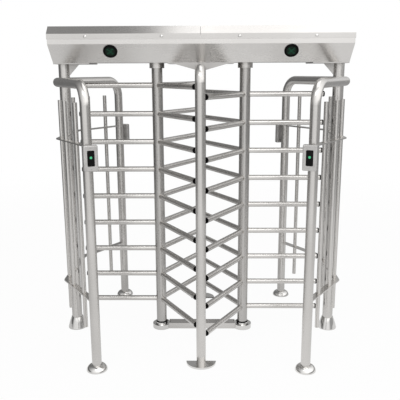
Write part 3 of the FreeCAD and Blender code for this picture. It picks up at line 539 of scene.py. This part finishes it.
def makeLampDots():
    recipe = Recipe("lamp_dots")
    reach = recipe.size("Reach", lampBoard["reach"])
    dot = recipe.size("Dot radius", lampBoard["dot"])
    stroke = recipe.size("Stroke", lampBoard["stroke"])
    count = int(lampBoard["reach"] / lampBoard["pitch"]) * 2 + 1
    rows = recipe.size("Rows", count)
    grid = recipe.node("GeometryNodeMeshGrid", inputs={"Size X": reach * 2, "Size Y": reach * 2,
                                                       "Vertices X": rows, "Vertices Y": rows})
    x, y, _ = recipe.spread(recipe.node("GeometryNodeInputPosition"))
    outside = x * x + y * y > reach ** 2
    board = recipe.node("GeometryNodeDeleteGeometry", inputs={"Geometry": grid, "Selection": outside})
    ball = recipe.node("GeometryNodeMeshUVSphere", inputs={
        "Segments": lampBoard["dotSegments"], "Rings": lampBoard["dotRings"], "Radius": dot})
    dots = recipe.node("GeometryNodeInstanceOnPoints", inputs={
        "Points": board, "Instance": ball, "Scale": (1, 1, lampBoard["dotFlatness"])})
    solid = recipe.node("GeometryNodeRealizeInstances", inputs={"Geometry": dots})
    limit = stroke * lampBoard["slant"]
    cross = (abs(x - y) < limit).either(abs(x + y) < limit)
    dark = recipe.dress(solid, dotDark)
    mesh = recipe.cook(recipe.dress(dark, dotGreen, cross))

    boards = bmesh.new()
    for side in (-1, 1):
        for front in (-1, 1):
            lean = Matrix.Rotation(math.radians(-front * (90 + lampBoard["lean"])), 4, "X")
            middle = Matrix.Translation((side * lampBoard["lampX"], front * lampBoard["faceY"],
                                         lampBoard["lampZ"]))
            spin = Matrix.Rotation(math.pi if front > 0 else 0, 4, "Z")
            copy = mesh.copy()
            copy.transform(middle @ lean @ Matrix.Translation((0, 0, lampBoard["lensFace"])) @ spin)
            boards.from_mesh(copy)
            bpy.data.meshes.remove(copy)
    boards.to_mesh(mesh)
    boards.free()
    piece("lamp_dots", mesh, "frame")


makeLampDots()
print("lamp dots ready")


# card readers: a light in each window, a seam round each case and two screws

readers = {
    "postX": 0.690,
    "postY": 0.663,
    "turn": 22,
    "shift": 0.008,
    "middle": 1.422,
    "windowFace": 0.07875,  # window's front from the post's middle
    "caseFace": 0.07775,
    "width": 0.088,
    "height": 0.157,
    "lightRise": 0.005,
    "lightRadius": 0.0078,
    "lightDome": 0.0009,
    "seamDepth": 0.016,  # seam behind the case's front
    "seamRadius": 0.0009,
    "seamSides": 6,
    "caseEdge": 0.007,
    "cornerSteps": 6,
    "screwRadius": 0.0032,
    "screwDome": 0.0014,
    "screwDrop": 0.066,  # screws below and above the middle
}


def readerMatrices():
    for side in (-1, 1):
        for front in (-1, 1):
            yaw = -side * readers["turn"] if front < 0 else 180 + side * readers["turn"]
            place = Matrix.Translation((side * readers["postX"], front * readers["postY"],
                                        readers["middle"]))
            yield (place @ Matrix.Rotation(math.radians(yaw), 4, "Z")
                   @ Matrix.Translation((readers["shift"] * side * front, 0, 0)))


def turnedDisc(shape, radius, rise, face, middleZ, middleX=0.0, rings=5, steps=28):
    # a low dome that faces -Y
    rows = []
    for ring in range(rings):
        angle = math.pi / 2 * ring / rings
        rows.append([shape.verts.new((middleX + math.cos(angle) * radius * math.cos(turn),
                                      -face - math.sin(angle) * rise,
                                      middleZ + math.cos(angle) * radius * math.sin(turn)))
                     for turn in [math.tau * step / steps for step in range(steps)]])
    for lower, upper in zip(rows, rows[1:]):
        for step in range(steps):
            after = (step + 1) % steps
            shape.faces.new((lower[step], lower[after], upper[after], upper[step]))
    crown = shape.verts.new((middleX, -face - rise, middleZ))
    for step in range(steps):
        shape.faces.new((rows[-1][step], rows[-1][(step + 1) % steps], crown))
    shape.faces.new(rows[0])


def onEveryReader(name, build, finish):
    whole = bmesh.new()
    for place in readerMatrices():
        one = bmesh.new()
        build(one)
        bmesh.ops.transform(one, matrix=place, verts=one.verts)
        mesh = bpy.data.meshes.new(name)
        one.to_mesh(mesh)
        one.free()
        whole.from_mesh(mesh)
        bpy.data.meshes.remove(mesh)
    bmesh.ops.recalc_face_normals(whole, faces=whole.faces)
    mesh = bpy.data.meshes.new(name)
    whole.to_mesh(mesh)
    whole.free()
    mesh.materials.append(finish)
    for face in mesh.polygons:
        face.use_smooth = True
    piece(name, mesh, "frame")


def lightShape(shape):
    turnedDisc(shape, readers["lightRadius"], readers["lightDome"], readers["windowFace"],
               readers["lightRise"])


def screwShape(shape):
    for level in (-1, 1):
        turnedDisc(shape, readers["screwRadius"], readers["screwDome"], readers["caseFace"],
                   level * readers["screwDrop"])


def seamShape(shape):
    # a thin bead that follows the case's rounded outline
    halfX = readers["width"] / 2
    halfZ = readers["height"] / 2
    edge = readers["caseEdge"]
    depth = readers["caseFace"] - readers["seamDepth"]
    steps = readers["cornerSteps"]
    sides = readers["seamSides"]
    outline = []
    for signX, signZ, start in ((1, 1, 0), (-1, 1, 90), (-1, -1, 180), (1, -1, 270)):
        for step in range(steps + 1):
            turn = math.radians(start + 90 * step / steps)
            outline.append((Vector((signX * (halfX - edge), -depth, signZ * (halfZ - edge))),
                            Vector((math.cos(turn), 0, math.sin(turn)))))
    loops = []
    for corner, away in outline:
        middle = corner + away * edge
        loops.append([shape.verts.new(middle + (away * math.cos(turn) + Vector((0, math.sin(turn), 0)))
                                      * readers["seamRadius"])
                      for turn in [math.tau * step / sides for step in range(sides)]])
    for here, after in zip(loops, loops[1:] + loops[:1]):
        for step in range(sides):
            beyond = (step + 1) % sides
            shape.faces.new((here[step], here[beyond], after[beyond], after[step]))


onEveryReader("reader_lights", lightShape, readerGlow)
onEveryReader("reader_screws", screwShape, machinedSteel)
onEveryReader("reader_seams", seamShape, rubber)
print("reader details ready")


# studio: pale floor, white surroundings, soft lamps, and a grey room that only shiny pieces see

room = {
    "reach": 9.0,
    "height": 6.0,
    "steps": 48,
    "wall": 0.30,  # tone of the wall at eye level
    "swing": 0.14,  # how much brighter its right side is
    "band": 0.75,  # how much brighter the pale stretch in front is
    "bandTurn": -12,  # its middle, degrees right of straight in front
    "bandEdge": (0.5, 0.92),  # it fades in between these shares of facing it
    "rise": (2.2, 3.3),  # the wall goes over to its upper tone between these heights
    "upper": 0.95,  # tone high on the wall
    "upperSwing": 0.74,  # how much brighter its bright side is: 1.69 there, more than white
    "upperTurn": 41,  # its bright side, degrees right of straight in front
    "ceiling": 0.38,  # dark patch overhead
    "ceilingEdge": (5.9, 5.99),  # the patch starts between these heights, so not on the wall
    "patch": (1.6, 3.6),  # the patch fades out between these distances
    "floorHalf": 15,
    "paper": (0.9, 0.9, 0.9),  # the floor's own colour, which takes the shadow
    "floorSeen": 0.95,  # share of plain white in what the camera sees of it close by
    "floorNear": 0.80,  # tone of it in shiny pieces, close by
    "floorSwing": 0.22,  # how much brighter the floor's bright side is
    "floorTurn": 20,  # its bright side, degrees right of straight in front
    "floorFades": (2.5, 8.0),  # floor goes from pale to the wall's tone between these distances
}


def facing(x, y, distance, degrees):
    # 1 toward a side that lies some degrees right of straight in front, -1 away from it
    turn = math.radians(degrees)
    return (x * math.sin(turn) - y * math.cos(turn)) / distance


def wallTone(x, y, distance):
    band = facing(x, y, distance, room["bandTurn"]).between(*room["bandEdge"])
    return room["wall"] + room["swing"] * x / distance + room["band"] * band


def stagePiece(name, points, faces, finish):
    mesh = bpy.data.meshes.new(name)
    mesh.from_pydata(points, [], faces)
    mesh.materials.append(finish)
    thing = bpy.data.objects.new(name, mesh)
    bpy.context.scene.collection.objects.link(thing)
    return thing


def glossyOnly(thing):
    for ray in ("camera", "diffuse", "shadow", "transmission", "volume_scatter"):
        setattr(thing, "visible_" + ray, False)


def makeFloor():
    finish = Finish("floor_white")
    x, y, _ = finish.spread(finish.node("ShaderNodeTexCoord", output="Object"))
    distance = (x * x + y * y) ** 0.5
    far = distance.between(*room["floorFades"])
    near = room["floorNear"] + room["floorSwing"] * facing(x, y, distance, room["floorTurn"])
    tone = near + far * (wallTone(x, y, distance) - near)
    rays = finish.node("ShaderNodeLightPath", output="Is Camera Ray")
    seen = rays.either(rays.beside("Is Transmission Ray"))
    mirrored = rays.beside("Is Glossy Ray")
    paper = finish.node("ShaderNodeBsdfDiffuse", inputs={"Color": room["paper"]})
    white = finish.node("ShaderNodeEmission", inputs={"Color": (1, 1, 1)})
    grey = finish.node("ShaderNodeEmission", inputs={"Color": (1, 1, 1), "Strength": tone})
    plain = room["floorSeen"] + (1 - room["floorSeen"]) * far
    lit = finish.node("ShaderNodeMixShader", inputs={0: seen * plain, 1: paper, 2: white})
    finish.surface(finish.node("ShaderNodeMixShader", inputs={0: mirrored, 1: lit, 2: grey}))
    half = room["floorHalf"]
    stagePiece("floor", [(-half, -half, 0), (half, -half, 0), (half, half, 0), (-half, half, 0)],
               [(0, 1, 2, 3)], finish.material)


def makeRoom():
    finish = Finish("room_grey")
    x, y, z = finish.spread(finish.node("ShaderNodeTexCoord", output="Object"))
    distance = (x * x + y * y) ** 0.5
    wall = wallTone(x, y, distance)
    upper = room["upper"] + room["upperSwing"] * facing(x, y, distance, room["upperTurn"])
    high = wall + z.between(*room["rise"]) * (upper - wall)
    patch = z.between(*room["ceilingEdge"]) * (1 - distance.between(*room["patch"]))
    tone = high + patch * (room["ceiling"] - high)
    finish.surface(finish.node("ShaderNodeEmission", inputs={"Color": (1, 1, 1), "Strength": tone}))
    steps = room["steps"]
    points = []
    for height in (0, room["height"]):
        for step in range(steps):
            turn = math.tau * step / steps
            points.append((room["reach"] * math.cos(turn), room["reach"] * math.sin(turn), height))
    faces = [(step, (step + 1) % steps, (step + 1) % steps + steps, step + steps) for step in range(steps)]
    faces.append(tuple(range(steps, steps * 2)))
    glossyOnly(stagePiece("room", points, faces, finish.material))


sky = {
    "light": 0.55,  # what it adds to the light on the object
    "seen": 1.0,  # white to the camera
}


def makeWorld():
    world = bpy.data.worlds.new("studio")
    world.use_nodes = True
    bpy.context.scene.world = world
    world.node_tree.nodes.clear()
    bench = Bench(world.node_tree)
    rays = bench.node("ShaderNodeLightPath", output="Is Camera Ray")
    seen = rays.either(rays.beside("Is Glossy Ray")).either(rays.beside("Is Transmission Ray"))
    plain = bench.node("ShaderNodeBackground", inputs={"Color": (1, 1, 1), "Strength": sky["light"]})
    white = bench.node("ShaderNodeBackground", inputs={"Color": (1, 1, 1), "Strength": sky["seen"]})
    both = bench.node("ShaderNodeMixShader", inputs={0: seen, 1: plain, 2: white})
    bench.node("ShaderNodeOutputWorld", inputs={"Surface": both})


def aimed(thing, target):
    thing.rotation_mode = "QUATERNION"
    thing.rotation_quaternion = (Vector(target) - thing.location).to_track_quat("-Z", "Y")
    return thing


lamps = {
    "lamp_key": {"place": (-2.5, -4.5, 4.2), "target": (0, 0, 1.1), "width": 2.5, "height": 2.5,
                 "power": 70, "glossy": False},
    "lamp_fill": {"place": (3.5, -3.5, 2.8), "target": (0, 0, 1.1), "width": 2.5, "height": 2.5,
                  "power": 45, "glossy": False},
    "lamp_above": {"place": (0.85, -0.1, 5.5), "target": (0.85, -0.1, 0), "width": 2.7, "height": 3.0,
                   "power": 38, "glossy": True},
    "lamp_front_high": {"place": (0, -3.2, 5.0), "target": (0, 0, 1.1), "width": 4.2, "height": 0.9,
                        "power": 24, "glossy": True},
}


def softbox(name, place, target, width, height, power, glossy):
    lamp = bpy.data.lights.new(name, "AREA")
    lamp.shape = "RECTANGLE"
    lamp.size = width
    lamp.size_y = height
    lamp.energy = power
    thing = bpy.data.objects.new(name, lamp)
    thing.location = place
    thing.visible_glossy = glossy
    bpy.context.scene.collection.objects.link(thing)
    return aimed(thing, target)


makeFloor()
makeRoom()
makeWorld()
for name, lamp in lamps.items():
    softbox(name, **lamp)
print("studio ready")


# camera, fitted to the photograph's straight tubes

photoCamera = {
    "place": (0.0478, -4.149, 1.932),
    "pitchDown": 12.61,
    "yaw": -0.817,
    "roll": -0.243,
    "lens": 51.876,
    "sensor": 36,
}


def makeCamera():
    data = bpy.data.cameras.new("camera")
    data.sensor_width = photoCamera["sensor"]
    data.lens = photoCamera["lens"]
    pitch = math.radians(photoCamera["pitchDown"])
    yaw = math.radians(photoCamera["yaw"])
    roll = math.radians(photoCamera["roll"])
    ahead = Vector((math.sin(yaw) * math.cos(pitch), math.cos(yaw) * math.cos(pitch), -math.sin(pitch)))
    right = Vector((math.cos(yaw), -math.sin(yaw), 0))
    up = right.cross(ahead)
    leaned = math.cos(roll) * right + math.sin(roll) * up
    raised = -math.sin(roll) * right + math.cos(roll) * up
    thing = bpy.data.objects.new("camera", data)
    thing.matrix_world = Matrix.Translation(photoCamera["place"]) @ Matrix(
        (leaned, raised, -ahead)).transposed().to_4x4()
    bpy.context.scene.collection.objects.link(thing)
    bpy.context.scene.camera = thing


makeCamera()
bpy.context.scene.view_settings.view_transform = "Standard"
print("camera ready")
